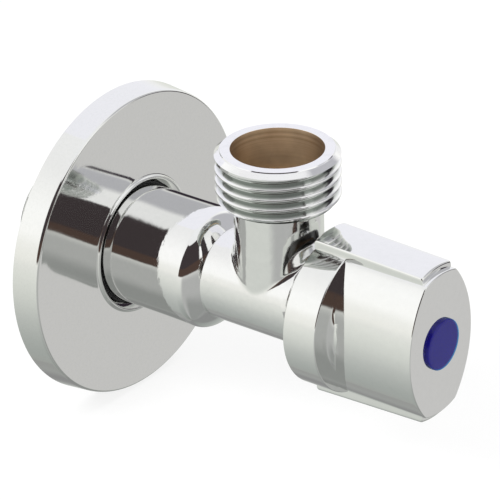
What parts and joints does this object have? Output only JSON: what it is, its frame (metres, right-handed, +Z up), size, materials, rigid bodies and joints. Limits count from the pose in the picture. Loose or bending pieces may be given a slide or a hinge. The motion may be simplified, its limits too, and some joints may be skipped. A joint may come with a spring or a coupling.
{
  "type": "quarter-turn angle valve",
  "caption": "Chrome angle stop valve with wall plate, upright threaded outlet and quarter-turn knob.",
  "frame": {"origin": "on the inlet's axis, in the plane of the wall that the plate lies on", "axes": "+X from the wall along the inlet to the knob, +Z up along the outlet, Y across"},
  "size_m": [0.0825, 0.055, 0.055],
  "materials": {
    "chrome_plate": "mirror plated",
    "bare_brass": "turned",
    "black_rubber": "matt",
    "white_plastic": "moulded",
    "ceramic_disc": "lapped",
    "spring_steel": "tempered",
    "zinc_steel": "zinc plated",
    "blue_plastic": "gloss"
  },
  "bodies": {
    "body": {"valve_body": "chrome_plate", "headwork_housing": "bare_brass", "headwork_gasket": "black_rubber", "thrust_washer": "white_plastic", "fixed_disc": "ceramic_disc", "seat_seal": "black_rubber", "seat_seal_ring": "white_plastic"},
    "knob_set": {"knob": "chrome_plate", "knob_bush": "white_plastic", "knob_screw": "zinc_steel", "screw_washer": "zinc_steel", "index_cap": "blue_plastic", "spindle": "bare_brass", "spindle_o_ring_inner": "black_rubber", "spindle_o_ring_outer": "black_rubber", "retaining_clip": "spring_steel", "disc_driver": "white_plastic", "moving_disc": "ceramic_disc"},
    "plate_set": {"wall_plate": "chrome_plate", "plate_grip_ring": "black_rubber"}
  },
  "joints": [
    {"name": "knob_turn", "type": "hinge", "parent": "body", "child": "knob_set", "pos_m": [0.0563, 0, 0], "axis": [1, 0, 0], "range_deg": [0, 90]},
    {"name": "plate_slide", "type": "slide", "parent": "body", "child": "plate_set", "axis": [1, 0, 0], "range_m": [0, 0.008]}
  ]
}
